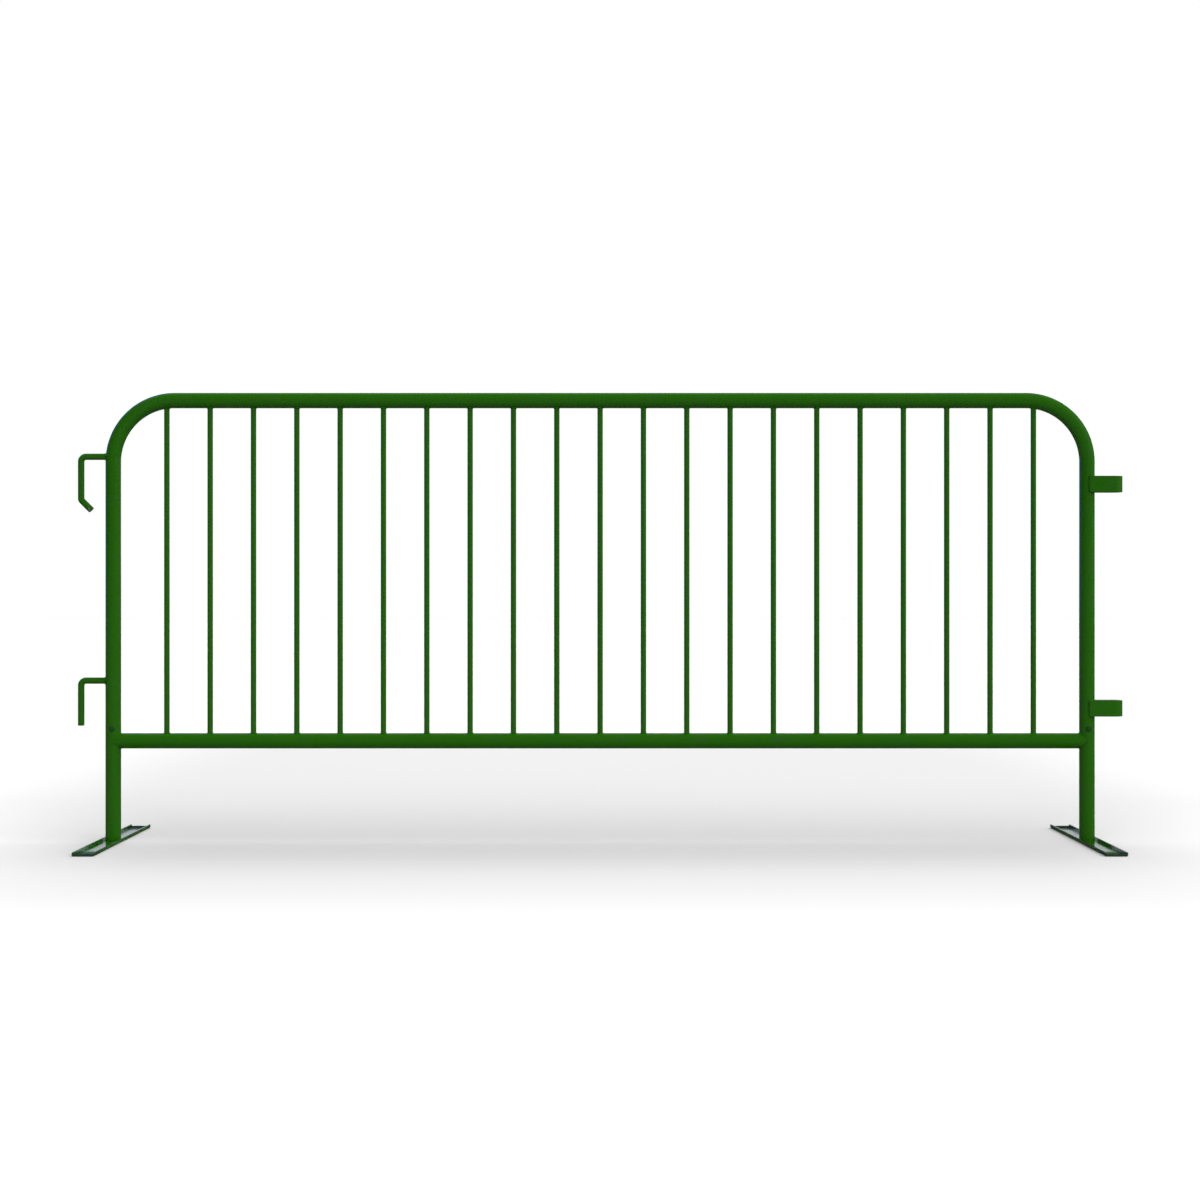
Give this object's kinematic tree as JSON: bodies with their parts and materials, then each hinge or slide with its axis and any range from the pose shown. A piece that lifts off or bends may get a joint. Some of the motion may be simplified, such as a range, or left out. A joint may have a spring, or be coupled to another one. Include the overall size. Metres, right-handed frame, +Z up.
{
  "type": "crowd control barrier",
  "caption": "Free-standing steel crowd barrier: bent tube frame with upright pickets, linking hooks and loops at its ends, and flat channel feet that swivel for stacking.",
  "frame": {"origin": "on the ground, under the middle of the panel, half way between the two uprights' axes", "axes": "+Z up; X runs along the barrier with the loops at +X and the hooks at -X; -Y is the front, the side of the rivet heads; the feet lie along Y at rest"},
  "size_m": [2.603, 0.62, 1.118],
  "materials": {
    "green_powder_coat": "glossy green powder coat over steel",
    "spigot_steel": "galvanised steel, rubbed by the leg"
  },
  "bodies": {
    "panel": {"top_frame_tube": "green_powder_coat", "bottom_rail": "green_powder_coat", "picket_01": "green_powder_coat", "picket_02": "green_powder_coat", "picket_03": "green_powder_coat", "picket_04": "green_powder_coat", "picket_05": "green_powder_coat", "picket_06": "green_powder_coat", "picket_07": "green_powder_coat", "picket_08": "green_powder_coat", "picket_09": "green_powder_coat", "picket_10": "green_powder_coat", "picket_11": "green_powder_coat", "picket_12": "green_powder_coat", "picket_13": "green_powder_coat", "picket_14": "green_powder_coat", "picket_15": "green_powder_coat", "picket_16": "green_powder_coat", "picket_17": "green_powder_coat", "picket_18": "green_powder_coat", "picket_19": "green_powder_coat", "picket_20": "green_powder_coat", "picket_21": "green_powder_coat", "picket_top_welds": "green_powder_coat", "picket_bottom_welds": "green_powder_coat", "rail_end_welds": "green_powder_coat", "upper_hook": "green_powder_coat", "lower_hook": "green_powder_coat", "hook_welds": "green_powder_coat", "upper_loop": "green_powder_coat", "lower_loop": "green_powder_coat", "loop_welds": "green_powder_coat", "foot_rivets": "green_powder_coat"},
    "left_foot": {"left_foot_channel": "green_powder_coat", "left_foot_spigot": "spigot_steel", "left_foot_weld": "green_powder_coat"},
    "right_foot": {"right_foot_channel": "green_powder_coat", "right_foot_spigot": "spigot_steel", "right_foot_weld": "green_powder_coat"}
  },
  "joints": [
    {"name": "left_foot_swivel", "type": "hinge", "parent": "panel", "child": "left_foot", "pos_m": [-1.2135, 0, 0], "axis": [0, 0, 1], "range_deg": [0, 90]},
    {"name": "right_foot_swivel", "type": "hinge", "parent": "panel", "child": "right_foot", "pos_m": [1.2135, 0, 0], "axis": [0, 0, 1], "range_deg": [0, 90]}
  ]
}
